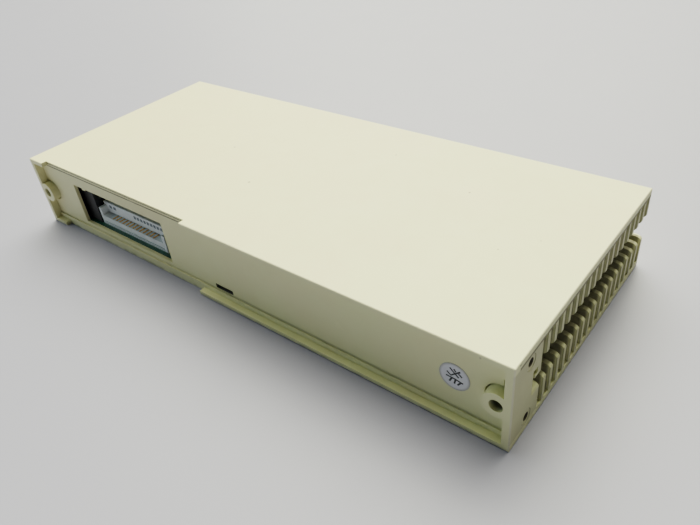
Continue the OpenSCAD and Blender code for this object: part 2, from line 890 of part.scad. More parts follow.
module stack_socket() {
  z0 = z_on_board + spacer_h * stack_split + stack_gap;
  w = stack_hole[0];
  color("#1d1d20") difference() {
    stack_bar(z0, z_io);
    stack_pin_places() translate([-w / 2, -w / 2, z0 - 1]) cube([w, w, spacer_h * stack_hole[1] + 1]);
  }
}

module io_board() {
  color(board_colour) difference() {
    block([io_board_x - io_board_l / 2, io_board_y - io_board_d / 2, z_io],
      [io_board_x + io_board_l / 2, io_board_y + io_board_d / 2, z_on_io]);
    for (p = spacer_at) translate([p.x, p.y, z_io - 1]) cylinder(d = screw_d + screw_clear, h = board_t + 2);
  }
}

module board_spacers() {
  color(metal_colour) for (p = spacer_at) translate([p.x, p.y, z_on_board]) difference() {
    cylinder(d = spacer_af / cos(30), h = spacer_h, $fn = 6);
    translate([0, 0, spacer_h - spacer_thread_l])
      cylinder(d = screw_d + thread_clear, h = spacer_thread_l + 1);
  }
}

module io_board_screws() {
  shank_l = board_t + spacer_thread_l - 2;
  color(metal_colour) for (p = spacer_at) translate([p.x, p.y, z_on_io]) pan_screw(shank_l);
}

module photocouplers() {
  color("#e9e9e6") for (x = coupler_x, y = coupler_y)
    dip_package(x, y, z_on_io, coupler_pins, narrow_rows, logic_t);
}

module driver_transistors() {
  size = driver_size;
  leg = driver_leg;
  color(chip_colour) for (x = driver_x) translate([x, driver_y, z_on_io]) {
    translate([-size.x / 2, -size.y / 2, driver_lift]) cube(size);
    for (k = [-1, 0, 1]) translate([k * driver_leg_pitch - leg / 2, -leg / 2, 0])
      cube([leg, leg, driver_lift + 0.1]);
  }
}

// ---- Front connector ----

module io_connector_shell() {
  color(metal_colour) difference() {
    union() {
      panel_plate(io_x, flange_size.x, flange_size.y, y_front_panel - flange_t, y_front_panel);
      d_bar(shell_t, y_front_panel - flange_t, y_front - shell_end);
    }
    d_bar(0, y_front_panel - 2, y_front + 1);
    for (x = jack_x) rod_y(x, z_mid, jack_shank_d + fit_gap, y_front_panel - 2, y_front_panel + 1);
  }
}

module io_connector_insulator() {
  y0 = y_front_panel - insulator_back;
  foot_l = 40;
  rim = 0.4;
  color("#202226") difference() {
    union() {
      panel_plate(io_x, flange_size.x - rim, flange_size.y - rim, y0, y_front_panel - flange_t);
      block([io_x - foot_l / 2, y0, z_on_board], [io_x + foot_l / 2, y_front_panel - 2, z_mid]);
      d_bar(-insulator_clear, y_front_panel - 1, y_io_face);
    }
    for (x = jack_x) rod_y(x, z_mid, jack_shank_d + fit_gap, y0 - 1, y_front_panel);
    io_contact_places() rod_y(0, 0, io_contact_d, y_io_face - io_contact_l, y_io_face + 1);
  }
}

// Places of the front connector's contacts: thirteen above twelve
module io_contact_places() {
  for (row = [0, 1], k = [0 : 12 - row])
    translate([io_x + (k - (12 - row) / 2) * io_contact_pitch, 0, z_mid + (0.5 - row) * io_row_pitch])
      children();
}

module io_connector_contacts() {
  sink = 0.2;
  floor_t = 1;
  color(gold_colour) io_contact_places() difference() {
    rod_y(0, 0, io_contact_d, y_io_face - io_contact_l, y_io_face - sink);
    rod_y(0, 0, io_contact_hole_d, y_io_face - io_contact_l + floor_t, y_io_face + 1);
  }
}

module jack_nuts() {
  y_nut = y_front - jack_sink;
  color(metal_colour) for (x = jack_x) difference() {
    union() {
      translate([x, y_nut, z_mid]) rotate([90, 0, 0])
        cylinder(d = jack_af / cos(30), h = y_nut - y_front_panel, $fn = 6);
      rod_y(x, z_mid, jack_shank_d, y_front_panel - jack_shank_l, y_front_panel + 0.1);
    }
    rod_y(x, z_mid, jack_hole_d, y_front - jack_hole_l, y_front + 1);
  }
}

// ---- Front controls ----

module front_board() {
  color(board_colour) block([front_board_x[0], y_front_board, z_front_board],
    [front_board_x[1], y_front_board + board_t, z_front_board + front_board_h]);
}

module status_lights() {
  y0 = y_front_board + board_t;
  color("#a8d08d") for (c = [0 : light_grid.x - 1], r = [0 : light_grid.y - 1]) {
    x = light_window_x + (c - (light_grid.x - 1) / 2) * light_pitch.x;
    z = z_mid + (r - (light_grid.y - 1) / 2) * light_pitch.y;
    rod_y(x, z, light_d, y0, y0 + light_h);
    translate([x, y0 + light_h, z]) sphere(d = light_d);
  }
}

module unit_switch_bodies() {
  y0 = y_front_board + board_t;
  y1 = y_front_panel - fit_gap;
  color("#2a2c30") for (x = dial_x) difference() {
    panel_plate(x, dial_body_w, dial_body_w, y0, y1);
    rod_y(x, z_mid, dial_d + 2 * dial_clear, y1 - dial_t, y1 + 1);
  }
}

// Dial of one rotary switch with a screwdriver slot and a pointer notch
module dial(x) {
  y1 = y_front_panel - fit_gap;
  y_face = y_front_face - dial_sink;
  z_rim = z_mid + dial_d / 2;
  slot_half = dial_d / 2 - dial_slot_end;
  color("#f0efe8") difference() {
    rod_y(x, z_mid, dial_d, y1 - dial_t + dial_lift, y_face);
    block([x - dial_slot[0] / 2, y_face - dial_slot[1], z_mid - slot_half],
      [x + dial_slot[0] / 2, y_face + 1, z_mid + slot_half]);
    block([x - dial_notch.x / 2, y_face - dial_notch.z, z_rim - dial_notch.y],
      [x + dial_notch.x / 2, y_face + 1, z_rim + 1]);
  }
}

module unit_dial_tens() {
  dial(dial_x[0]);
}

module unit_dial_ones() {
  dial(dial_x[1]);
}

// Place of a mode switch slider's middle along X
function slider_x(k) = mode_x - (k - 2.5) * mode_pitch;

module mode_switch_body() {
  slot_w = slider_size.x + 2 * slider_clear;
  slot_l = slider_size.y + slider_travel + 2 * slider_clear;
  y_floor = mode_face - slider_depth - slider_clear;
  color("#a63a2c") difference() {
    panel_plate(mode_x, mode_size.x, mode_size.y, y_front_board + board_t, mode_face);
    for (k = [1 : 4]) panel_plate(slider_x(k), slot_w, slot_l, y_floor, mode_face + 1);
  }
}

// Slider k of the mode switch, at the lower end of its slot
module slider(k) {
  z0 = z_mid - slider_travel / 2 - slider_size.y / 2;
  x = slider_x(k);
  color("white") block([x - slider_size.x / 2, mode_face - slider_depth, z0],
    [x + slider_size.x / 2, mode_face + slider_proud, z0 + slider_size.y]);
}

module mode_slider_1() {
  slider(1);
}

module mode_slider_2() {
  slider(2);
}

module mode_slider_3() {
  slider(3);
}

module mode_slider_4() {
  slider(4);
}

module reset_switch_body() {
  y0 = y_front_board + board_t;
  y1 = y_front_panel - reset_sink;
  color("#2a2c30") difference() {
    panel_plate(reset_x, reset_body_w, reset_body_w, y0, y1);
    rod_y(reset_x, z_mid, button_d + 2 * button_clear, y1 - reset_bore, y1 + 1);
  }
}

module reset_button() {
  proud = 0.6;
  y_rest = y_front_panel - reset_sink - reset_bore + button_travel + 0.3;
  color("#c8332b") rod_y(reset_x, z_mid, button_d, y_rest, y_front_face + proud);
}

bottom_cover();
top_cover();
end_block_left();
end_block_right();
cover_rivets();
rear_panel();
front_panel();
inspection_sticker();
insulation_sheet();
main_board();
main_board_screws();
backplane_connector();
backplane_contacts();
logic_chips();
processor_chip();
memory_socket();
memory_chip();
clock_crystal();
filter_capacitors();
bypass_capacitors();
resistor_networks();
power_converter();
choke_core();
choke_winding();
stack_header();
stack_socket();
io_board();
board_spacers();
io_board_screws();
photocouplers();
driver_transistors();
io_connector_shell();
io_connector_insulator();
io_connector_contacts();
jack_nuts();
front_board();
status_lights();
light_window();
blank_label();
unit_switch_bodies();
unit_dial_tens();
unit_dial_ones();
mode_switch_body();
mode_slider_1();
mode_slider_2();
mode_slider_3();
mode_slider_4();
reset_switch_body();
reset_button();
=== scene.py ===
"""Finishes, printed marks and small fittings of a rack-mounted controller module.

Everything is in metres, in the module's own frame: +X along its length, +Y towards
the front panel, +Z up, with the origin at the middle of the lower face.
"""

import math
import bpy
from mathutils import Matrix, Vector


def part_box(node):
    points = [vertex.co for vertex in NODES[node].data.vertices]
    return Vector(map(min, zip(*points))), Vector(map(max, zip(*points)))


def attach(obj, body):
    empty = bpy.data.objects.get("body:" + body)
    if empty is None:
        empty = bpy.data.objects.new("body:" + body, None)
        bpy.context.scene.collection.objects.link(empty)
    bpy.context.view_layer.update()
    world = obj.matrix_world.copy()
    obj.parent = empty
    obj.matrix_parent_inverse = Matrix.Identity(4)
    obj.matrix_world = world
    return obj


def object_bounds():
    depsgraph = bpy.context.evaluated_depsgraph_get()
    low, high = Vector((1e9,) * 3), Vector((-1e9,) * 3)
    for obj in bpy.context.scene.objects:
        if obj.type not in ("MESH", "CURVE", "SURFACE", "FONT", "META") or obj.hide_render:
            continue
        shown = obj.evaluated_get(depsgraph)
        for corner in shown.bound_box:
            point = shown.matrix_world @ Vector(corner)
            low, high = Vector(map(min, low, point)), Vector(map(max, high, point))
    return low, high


bl_info = {
    "name": "Rack controller module",
    "version": (1, 0, 0),
    "blender": (4, 5, 0),
    "location": "3D View > Sidebar > Module",
    "description": "Finishes, printed marks and small fittings of a controller module",
    "category": "Object",
}

import bpy
from mathutils import Vector

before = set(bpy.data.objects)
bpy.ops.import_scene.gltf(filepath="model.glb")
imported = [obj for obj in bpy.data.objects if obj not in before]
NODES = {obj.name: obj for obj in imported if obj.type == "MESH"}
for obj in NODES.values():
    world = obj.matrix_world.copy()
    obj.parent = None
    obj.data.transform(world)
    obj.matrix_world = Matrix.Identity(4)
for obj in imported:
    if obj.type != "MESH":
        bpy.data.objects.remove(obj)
CAD_BOX = [list(corner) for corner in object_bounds()]

MM = 0.001
LOW, HIGH = (Vector(corner) for corner in CAD_BOX)
END_X = HIGH.x
FRONT_Y = HIGH.y
REAR_Y = LOW.y
TOP_Z = HIGH.z
MID_Z = TOP_Z / 2
COMB_X = END_X - 10 * MM  # inner wall behind the fins
COMB_Y = REAR_Y + 17.6 * MM  # where the fins begin
MOUNT_X = END_X - 5 * MM  # middle of a mounting sleeve
SLEEVE_BORE_R = 2.25 * MM
RIVET_Y = REAR_Y + 10.2 * MM
RIVET_RISE = MID_Z - 5.95 * MM  # height of the rivets over and under the middle
RIVET_HEAD_R = 2.8 * MM
RIVET_HOLE_R = 1.5 * MM
PANEL_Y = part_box("rear_panel")[0].y
LIP_Y = PANEL_Y - 0.7 * MM  # face of the notched upper lip
LIP_GROOVE_Z = TOP_Z - 1 * MM  # middle of the groove along that lip
RIM_TOP_Z = 4.2 * MM  # top of the rim in front of the rear panel
SLOT_HALF = 5 * MM  # half the length of the small rear slot
SLOT_LOW_Z = 4.7 * MM
SLOT_HIGH_Z = 6.9 * MM
FRONT_FACE_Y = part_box("front_panel")[1].y


def middle(node):
    """Middle of a CAD node's box."""
    low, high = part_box(node)
    return (low + high) / 2


# ---- Materials ----


class Value:
    """A socket of a material. Sums and products of values add Math nodes."""

    def __init__(self, finish, socket):
        self.finish = finish
        self.socket = socket

    def sum(self, operation, *terms):
        return self.finish.node("ShaderNodeMath", {"operation": operation}, dict(enumerate(terms)))

    def __add__(self, other):
        return self.sum("ADD", self, other)

    __radd__ = __add__

    def __sub__(self, other):
        return self.sum("SUBTRACT", self, other)

    def __rsub__(self, other):
        return self.sum("SUBTRACT", other, self)

    def __mul__(self, other):
        return self.sum("MULTIPLY", self, other)

    __rmul__ = __mul__

    def __abs__(self):
        return self.sum("ABSOLUTE", self)

    def power(self, exponent):
        return self.sum("POWER", self, exponent)

    def most(self, other):
        return self.sum("MAXIMUM", self, other)

    def over(self, low, high):
        """0 below low, 1 above high, smooth between them."""
        return self.finish.node(
            "ShaderNodeMapRange",
            {"interpolation_type": "SMOOTHSTEP"},
            {"Value": self, "From Min": low, "From Max": high},
        )

    def under(self, low, high):
        return 1 - self.over(low, high)

    def repeat(self, start, pitch):
        """Distance from the nearest of a row of lines that are pitch apart."""
        shifted = self - (start - pitch / 2)
        return abs(self.sum("FLOORED_MODULO", shifted, pitch) - pitch / 2)


class Finish:
    """One material, built on its shader."""

    def __init__(self, name):
        self.material = bpy.data.materials.new(name)
        self.material.use_nodes = True
        self.tree = self.material.node_tree
        self.shader = self.tree.nodes["Principled BSDF"]
        self.place = self.node("ShaderNodeTexCoord", output="Object")
        parts = self.tree.nodes.new("ShaderNodeSeparateXYZ")
        self.tree.links.new(self.place.socket, parts.inputs[0])
        self.x, self.y, self.z = (Value(self, socket) for socket in parts.outputs)

    def node(self, kind, settings=None, inputs=None, output=0):
        """Adds a node: its settings first, then the numbers or links of its sockets."""
        made = self.tree.nodes.new(kind)
        for key, setting in (settings or {}).items():
            setattr(made, key, setting)
        for key, given in (inputs or {}).items():
            if isinstance(given, Value):
                self.tree.links.new(given.socket, made.inputs[key])
            else:
                made.inputs[key].default_value = given
        return Value(self, made.outputs[output])

    def stretched(self, x=1.0, y=1.0, z=1.0):
        """Places scaled along each axis, for a pattern that runs one way."""
        return self.node("ShaderNodeMapping", None, {"Vector": self.place, "Scale": (x, y, z)})

    def noise(self, size, detail=2.0, place=None, rough=0.5):
        """Soft noise whose lumps are about size metres across, from 0 to 1."""
        inputs = {"Vector": place or self.place, "Scale": 1 / size, "Detail": detail, "Roughness": rough}
        return self.node("ShaderNodeTexNoise", None, inputs)

    def cells(self, size, place=None):
        """Distance to the nearest of scattered points, in shares of size."""
        return self.node("ShaderNodeTexVoronoi", None, {"Vector": place or self.place, "Scale": 1 / size})

    def near(self, point, inside, outside):
        """1 within inside metres of a point, 0 beyond outside."""
        gap = self.node(
            "ShaderNodeVectorMath",
            {"operation": "DISTANCE"},
            {0: self.place, 1: point},
            output="Value",
        )
        return gap.under(inside, outside)

    def mix(self, share, first, second):
        """Blend of two colours."""
        return self.node(
            "ShaderNodeMix",
            {"data_type": "RGBA", "clamp_factor": True},
            {0: share, 6: first, 7: second},
            output=2,
        )

    def shader_input(self, name, given):
        if isinstance(given, Value):
            self.tree.links.new(given.socket, self.shader.inputs[name])
        else:
            self.shader.inputs[name].default_value = given

    def finish(self, relief=None, depth=0.02 * MM, **inputs):
        """Connects the shader's inputs, and a relief of that depth as its bump."""
        for name, given in inputs.items():
            self.shader_input(name.replace("_", " "), given)
        if relief is not None:
            bump = self.node("ShaderNodeBump", None, {"Strength": 1.0, "Distance": depth, "Height": relief})
            self.tree.links.new(bump.socket, self.shader.inputs["Normal"])
        return self.material


def rgb(colour, lift=1.0):
    """A colour property as four numbers, lightened or darkened by lift."""
    return tuple(min(1.0, part * lift) for part in colour) + (1.0,)


def outer_edges(finish):
    """1 along the outer edges of the whole module, where a highlight is painted."""
    near_x = abs(finish.x).over(END_X - 0.7 * MM, END_X - 0.1 * MM)
    near_y = abs(finish.y).over(FRONT_Y - 0.7 * MM, FRONT_Y - 0.1 * MM)
    near_z = abs(finish.z - MID_Z).over(MID_Z - 0.7 * MM, MID_Z - 0.1 * MM)
    return (near_x * near_y).most(near_y * near_z).most(near_x * near_z)


def bore_dirt(finish):
    """Painted shade: nearly 1 deep in the bores of the two mounting sleeves, 1 in the small rear slot."""
    across = (abs(finish.x) - MOUNT_X).power(2) + (finish.z - MID_Z).power(2)
    bore = across.power(0.5).under(SLEEVE_BORE_R + 0.05 * MM, SLEEVE_BORE_R + 0.15 * MM)
    bore = bore * finish.y.over(REAR_Y + 0.2 * MM, REAR_Y + 2.5 * MM)
    slot = abs(finish.x).under(SLOT_HALF + 0.05 * MM, SLOT_HALF + 0.1 * MM)
    slot = slot * finish.y.over(PANEL_Y + 0.05 * MM, PANEL_Y + 0.2 * MM)
    slot = slot * finish.z.under(SLOT_HIGH_Z + 0.1 * MM, SLOT_HIGH_Z + 0.15 * MM)
    slot = slot * finish.z.over(SLOT_LOW_Z - 0.05 * MM, SLOT_LOW_Z)
    return (bore * 0.9).most(slot)


def rivet_marks(finish):
    """Painted shade: 1 in the rivets' holes, with a fainter ring of painted shade round their heads."""
    rise = abs(finish.z - MID_Z) - RIVET_RISE
    radius = (rise.power(2) + (finish.y - RIVET_Y).power(2)).power(0.5)
    outer = abs(finish.x).over(COMB_X, COMB_X + 1 * MM)
    hole = radius.under(RIVET_HOLE_R + 0.03 * MM, RIVET_HOLE_R + 0.12 * MM)
    ring = abs(radius - RIVET_HEAD_R).under(0.06 * MM, 0.3 * MM)
    return hole.most(ring * 0.6) * outer


def case_plastic(name, colours):
    """Moulded cream plastic: slow drift of tone, fine grain, dust, painted shade in the fins, creases, holes
    and on the end faces, and a painted highlight on the outer edges.
    """
    f = Finish(name)
    drift = f.noise(90 * MM, 1.0)
    along = (f.x + f.y * -0.6).over(-90 * MM, 150 * MM)
    tone = f.mix(along * 0.75 + drift * 0.25, rgb(colours.case_warm), rgb(colours.case_cool))
    mottle = f.noise(7 * MM, 3.0).over(0.35, 0.8)
    tone = f.mix(mottle * 0.14, tone, rgb(colours.case_stain))
    blotch = f.noise(34 * MM, 2.0).over(0.42, 0.70)
    tone = f.mix(blotch * 0.22, tone, rgb(colours.case_rose))
    # Dust and painted shade between the fins, and painted shade on the end faces
    deep_shade = abs(f.x).over(COMB_X - 1 * MM, COMB_X) * abs(f.x).under(END_X - 1.6 * MM, END_X - 0.15 * MM)
    deep_shade = deep_shade * f.y.over(COMB_Y - 1 * MM, COMB_Y + 0.5 * MM)
    deep_shade = deep_shade * f.y.under(FRONT_Y - 0.8 * MM, FRONT_Y - 0.2 * MM)
    between = f.z.over(2.2 * MM, 3.4 * MM) * f.z.under(TOP_Z - 3.4 * MM, TOP_Z - 2.2 * MM)
    fine = f.noise(1.6 * MM, 3.0)
    # Painted shade with some dust, deep between the fins and on the fins' sides and tops
    dust = deep_shade * between * (0.62 + fine * 0.35)
    # Painted shade on both end faces, in patches
    end_shade_patches = f.noise(18 * MM, 3.0) * 0.3 + 0.2
    end_face_shade = abs(f.x).over(END_X - 0.6 * MM, END_X - 0.05 * MM) * between * end_shade_patches
    # Painted shade in the crease behind the lower rim, painted shadow under the upper lip and painted shade
    # in the lip's groove
    rim_crease_shade = (abs(f.y - PANEL_Y) + abs(f.z - RIM_TOP_Z)).under(0.2 * MM, 1.0 * MM)
    under_lip_shadow = abs(f.z - (TOP_Z - 2.8 * MM)).under(0.4 * MM, 0.7 * MM)
    under_lip_shadow = under_lip_shadow * f.y.over(PANEL_Y - 0.2 * MM, PANEL_Y - 0.05 * MM)
    lip_groove_shade = abs(f.z - LIP_GROOVE_Z).under(0.2 * MM, 0.26 * MM)
    lip_groove_shade = lip_groove_shade * f.y.over(LIP_Y + 0.02 * MM, LIP_Y + 0.1 * MM)
    lip_groove_shade = lip_groove_shade * f.y.under(PANEL_Y, PANEL_Y + 1 * MM)
    groove = (rim_crease_shade * 0.22).most(under_lip_shadow * 0.85).most(lip_groove_shade * 0.9)
    # Painted shade in the sleeve bores, the rear slot and the rivets' holes
    bores = bore_dirt(f).most(rivet_marks(f))
    foot = f.z.under(0.1 * MM, 1.6 * MM) * f.noise(5 * MM, 2.0).over(0.35, 0.65)
    # Dust together with painted shade in the fins, creases, holes and on the end faces, and a patchy darker
    # band along the bottom
    dirt_and_painted_shade = dust.most(groove).most(foot * 0.4).most(bores).most(end_face_shade)
    tone = f.mix(dirt_and_painted_shade, tone, rgb(colours.dust))
    # Scattered specks, and the few that stand out on the upper face
    speck = f.cells(11 * MM).under(0.018, 0.034) * f.noise(23 * MM, 1.0).over(0.57, 0.62)
    for x, y, size in ((-42, 3, 0.6), (-12, -17, 0.7), (70, 19, 0.6), (28, 31, 0.45), (96, -8, 0.4)):
        place = (x * MM, y * MM, TOP_Z)
        speck = speck.most(f.near(place, size * 0.5 * MM, size * MM))
    gate = f.near((114.75 * MM, REAR_Y, TOP_Z - 1.3 * MM), 0.15 * MM, 0.5 * MM) * 0.7
    tone = f.mix(speck.most(gate) * 0.65, tone, rgb(colours.speck))
    # Fine scuffs that run along the large faces
    scuff = f.noise(1.0, 2.0, f.stretched(90, 1500, 90)).over(0.66, 0.74)
    scuff = scuff * f.noise(40 * MM, 1.0).over(0.5, 0.65)
    tone = f.mix(scuff * 0.18, tone, rgb(colours.case_warm, 1.12))
    # Painted highlight along the module's outer edges
    edge = outer_edges(f) * (0.55 + f.noise(2.5 * MM, 2.0) * 0.6)
    tone = f.mix(edge * 0.55, tone, rgb(colours.case_edge))
    grain = f.noise(0.55 * MM, 2.0)
    pits = f.cells(0.8 * MM)
    relief = grain * 0.7 + pits * 0.3 + scuff * 0.5 - speck * 0.6
    rough = 0.47 + f.noise(15 * MM, 2.0) * 0.12 + dirt_and_painted_shade * 0.25 - edge * 0.16 - scuff * 0.08
    return f.finish(relief, 0.012 * MM, Base_Color=tone, Roughness=rough, IOR=1.5, Specular_IOR_Level=0.42)


def panel_plastic(name, colours):
    """The front panel: a finer grain than the case, with light handling marks."""
    f = Finish(name)
    tone = f.mix(f.noise(30 * MM, 2.0), rgb(colours.case_cool, 0.97), rgb(colours.case_warm, 0.98))
    rim = (abs(f.z - MID_Z)).over(12 * MM, 15 * MM) * f.noise(3 * MM, 3.0)
    tone = f.mix(rim * 0.25, tone, rgb(colours.dust))
    smear = f.noise(1.0, 2.0, f.stretched(70, 70, 500)).over(0.6, 0.75)
    tone = f.mix(smear * 0.12, tone, rgb(colours.case_edge))
    grain = f.noise(0.35 * MM, 2.0) + f.cells(0.5 * MM) * 0.4
    rough = 0.5 + f.noise(9 * MM, 2.0) * 0.14 - smear * 0.1
    return f.finish(grain, 0.01 * MM, Base_Color=tone, Roughness=rough, Specular_IOR_Level=0.4)


def board_laminate(name, colours, upright=False):
    """Green solder mask over copper tracks, with tinned pads and bare sawn edges."""
    f = Finish(name)
    across = f.z if upright else f.y
    wander = (f.noise(16 * MM, 0.0) - 0.5) * 6 * MM
    tracks_a = (across + wander).repeat(0, 1.27 * MM).under(0.2 * MM, 0.28 * MM)
    tracks_b = (f.x + wander).repeat(0, 1.27 * MM).under(0.2 * MM, 0.28 * MM)
    side = f.noise(21 * MM, 0.0).over(0.49, 0.51)
    tracks = tracks_a * side + tracks_b * (1 - side)
    crossing = (f.x.repeat(0, 5.08 * MM).power(2) + across.repeat(0, 5.08 * MM).power(2)).power(0.5)
    pads = crossing.under(0.5 * MM, 0.58 * MM) * f.noise(13 * MM, 0.0).over(0.42, 0.46)
    mask_tone = f.mix(f.noise(35 * MM, 2.0), rgb(colours.board), rgb(colours.board, 1.35))
    tone = f.mix(tracks * 0.7, mask_tone, rgb(colours.board, 2.1))
    tone = f.mix(pads, tone, rgb(colours.tin))
    normal = f.node("ShaderNodeNewGeometry", output="Normal")
    parts = f.tree.nodes.new("ShaderNodeSeparateXYZ")
    f.tree.links.new(normal.socket, parts.inputs[0])
    facing = abs(Value(f, parts.outputs["Y" if upright else "Z"]))
    sawn = facing.under(0.3, 0.7)
    weave = f.noise(0.3 * MM, 2.0, f.stretched(1, 1, 4))
    tone = f.mix(sawn, tone, f.mix(weave, rgb(colours.board, 0.9), rgb(colours.laminate)))
    flux = f.noise(4 * MM, 3.0)
    rough = 0.26 + flux * 0.2 + sawn * 0.35
    relief = tracks * 0.6 + pads + flux * 0.2
    return f.finish(relief, 0.03 * MM, Base_Color=tone, Roughness=rough, Metallic=pads * (1 - sawn) * 0.9)


def moulded(name, colour, size=0.6 * MM, gloss=0.4, wear=None, metal=None, colours=None, **inputs):
    """Moulded plastic, resin or paper: mottled tone and a grain of that size.

    wear is a second colour that shows in patches. metal is a function that gives the
    share of a place which is tinned metal, such as the legs of a chip.
    """
    f = Finish(name)
    tone = f.mix(f.noise(size * 9, 3.0), rgb(colour, 0.86), rgb(colour, 1.12))
    worn = f.noise(size * 22, 3.0).over(0.54, 0.74)
    tone = f.mix(worn * 0.4, tone, rgb(wear) if wear else rgb(colour, 1.3))
    grain = f.noise(size, 3.0)
    rough = gloss + grain * 0.12 + worn * 0.1
    metallic = 0.0
    if metal:
        legs = metal(f)
        tin = f.mix(f.noise(0.7 * MM, 2.0), rgb(colours.tin, 0.8), rgb(colours.tin))
        tone = f.mix(legs, tone, tin)
        rough = rough * (1 - legs) + legs * 0.34
        metallic = legs * 0.95
    return f.finish(
        grain + worn * 0.3, size * 0.03, Base_Color=tone, Roughness=rough, Metallic=metallic, **inputs
    )


def plated(name, colour, dull, size=0.5 * MM, rough=0.26, lines=None):
    """Plated metal: drawn lines, tarnish in patches and a crisp shine between them."""
    f = Finish(name)
    tarnish = f.noise(size * 6, 4.0, rough=0.6).over(0.42, 0.78)
    tone = f.mix(tarnish * 0.7, rgb(colour), rgb(dull))
    drawn = f.noise(1.0, 2.0, f.stretched(*(lines or (300, 4000, 4000))))
    spread = rough + tarnish * 0.22 + drawn * 0.1
    return f.finish(drawn + tarnish * 0.3, 0.006 * MM, Base_Color=tone, Roughness=spread, Metallic=1.0)


def clear_part(name, colour, dark, alpha, ridges):
    """Tinted plastic that light passes: moulded ridges, with dust on its face."""
    f = Finish(name)
    ribs = f.x.repeat(0, ridges).over(ridges * 0.15, ridges * 0.5)
    tone = f.mix(ribs * 0.5 + f.noise(3 * MM, 2.0) * 0.3, rgb(colour), rgb(dark))
    dust = f.noise(1.1 * MM, 4.0).over(0.58, 0.85) * f.noise(9 * MM, 1.0).over(0.4, 0.7)
    tone = f.mix(dust * 0.06, tone, (0.5, 0.5, 0.46, 1))
    rough = 0.12 + dust * 0.25
    seen = alpha + dust * 0.05
    return f.finish(ribs, 0.05 * MM, Base_Color=tone, Roughness=rough, Alpha=seen, Coat_Weight=0.3)


def ink(name, colour):
    """Printed ink: dense, with a broken edge where the print is thin."""
    f = Finish(name)
    thin = f.noise(0.25 * MM, 3.0).over(0.5, 0.85)
    tone = f.mix(thin * 0.5, rgb(colour), rgb(colour, 2.6))
    return f.finish(thin, 0.004 * MM, Base_Color=tone, Roughness=0.5 + thin * 0.25)


def sticker_paper(name, colours):
    """Coated paper: fibres, and a grey rim at the cut edge that is a painted shadow."""
    f = Finish(name)
    centre = middle("inspection_sticker")
    across = f.near((centre.x, centre.y, centre.z), 4.2 * MM, 5.2 * MM)
    fibre = f.noise(0.3 * MM, 4.0, f.stretched(1, 1, 2.5))
    tone = f.mix(f.noise(3 * MM, 2.0), rgb(colours.paper), rgb(colours.paper, 0.93))
    # Painted shadow: greyer in the outer millimetre of the sticker
    tone = f.mix((1 - across) * (0.35 + fibre * 0.4), tone, rgb(colours.dust, 1.6))
    return f.finish(fibre, 0.01 * MM, Base_Color=tone, Roughness=0.42 + fibre * 0.2)


def label_paper(name, colours):
    """Write-on label: matt paper with a faint crosswise fibre."""
    f = Finish(name)
    fibre = f.noise(0.25 * MM, 4.0, f.stretched(2.5, 1, 1))
    tone = f.mix(f.noise(5 * MM, 3.0), rgb(colours.paper, 0.98), rgb(colours.case_edge, 1.02))
    grubby = f.noise(8 * MM, 3.0).over(0.55, 0.8)
    tone = f.mix(grubby * 0.2, tone, rgb(colours.dust, 1.8))
    return f.finish(fibre, 0.012 * MM, Base_Color=tone, Roughness=0.62 + fibre * 0.15)


def sleeve(name, colours):
    """Shrink sleeve of the capacitors, with a pale stripe and a bare metal top."""
    first_y, pitch = -3 * MM, 10 * MM
    stripe_x = -105.3 * MM
    f = Finish(name)
    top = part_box("filter_capacitors")[1].z
    bare = f.z.over(top - 0.6 * MM, top - 0.45 * MM)
    stripe = f.y.repeat(first_y, pitch).under(0.9 * MM, 1.0 * MM)
    stripe = stripe * f.x.over(stripe_x - 0.2 * MM, stripe_x)
    tone = f.mix(f.noise(4 * MM, 2.0), rgb(colours.sleeve), rgb(colours.sleeve, 1.5))
    tone = f.mix(stripe, tone, rgb(colours.tin))
    tone = f.mix(bare, tone, rgb(colours.tin, 0.9))
    crinkle = f.noise(0.9 * MM, 2.0, f.stretched(1, 1, 0.3))
    rough = 0.22 + crinkle * 0.1 + bare * 0.1
    return f.finish(crinkle, 0.03 * MM, Base_Color=tone, Roughness=rough, Metallic=bare)


def legs_beside(half_width, start, pitch):
    """Share that is a chip's leg: what lies further than half_width from its row's middle."""

    def share(f):
        return f.y.repeat(start, pitch).over(half_width, half_width + 0.05 * MM)

    return share


def legs_below(height):
    """Share that is a leg: what lies below a height."""

    def share(f):
        return f.z.under(height - 0.05 * MM, height)

    return share


def pins_above(height):
    """Share that is a pin: what lies above a height."""

    def share(f):
        return f.z.over(height, height + 0.05 * MM)

    return share


def dress(material, *nodes):
    """Gives a material to carried-over CAD nodes."""
    for name in nodes:
        slots = NODES[name].material_slots
        if not slots:
            NODES[name].data.materials.append(material)
        for slot in NODES[name].material_slots:
            slot.material = material


# ---- Modelling ----


def deselect():
    """Leaves nothing selected, in object mode."""
    if bpy.context.mode != "OBJECT":
        bpy.ops.object.mode_set(mode="OBJECT")
    bpy.ops.object.select_all(action="DESELECT")


def settle(piece, name, body, material, smooth=None):
    """Puts the piece's place into its mesh, closes it, and fixes it to its body."""
    deselect()
    piece.select_set(True)
    bpy.context.view_layer.objects.active = piece
    bpy.ops.object.transform_apply(location=True, rotation=True, scale=True)
    bpy.ops.object.mode_set(mode="EDIT")
    bpy.ops.mesh.select_all(action="SELECT")
    bpy.ops.mesh.remove_doubles(threshold=1e-6)
    bpy.ops.mesh.normals_make_consistent(inside=False)
    bpy.ops.object.mode_set(mode="OBJECT")
    if smooth:
        bpy.ops.object.shade_smooth_by_angle(angle=math.radians(smooth))
    piece.name = name
    piece.data.name = name
    piece.data.materials.clear()
    piece.data.materials.append(material)
    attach(piece, body)
    return piece


def merge(pieces):
    """Joins pieces into the first one."""
    deselect()
    for piece in pieces:
        piece.select_set(True)
    bpy.context.view_layer.objects.active = pieces[0]
    if len(pieces) > 1:
        bpy.ops.object.join()
    return pieces[0]


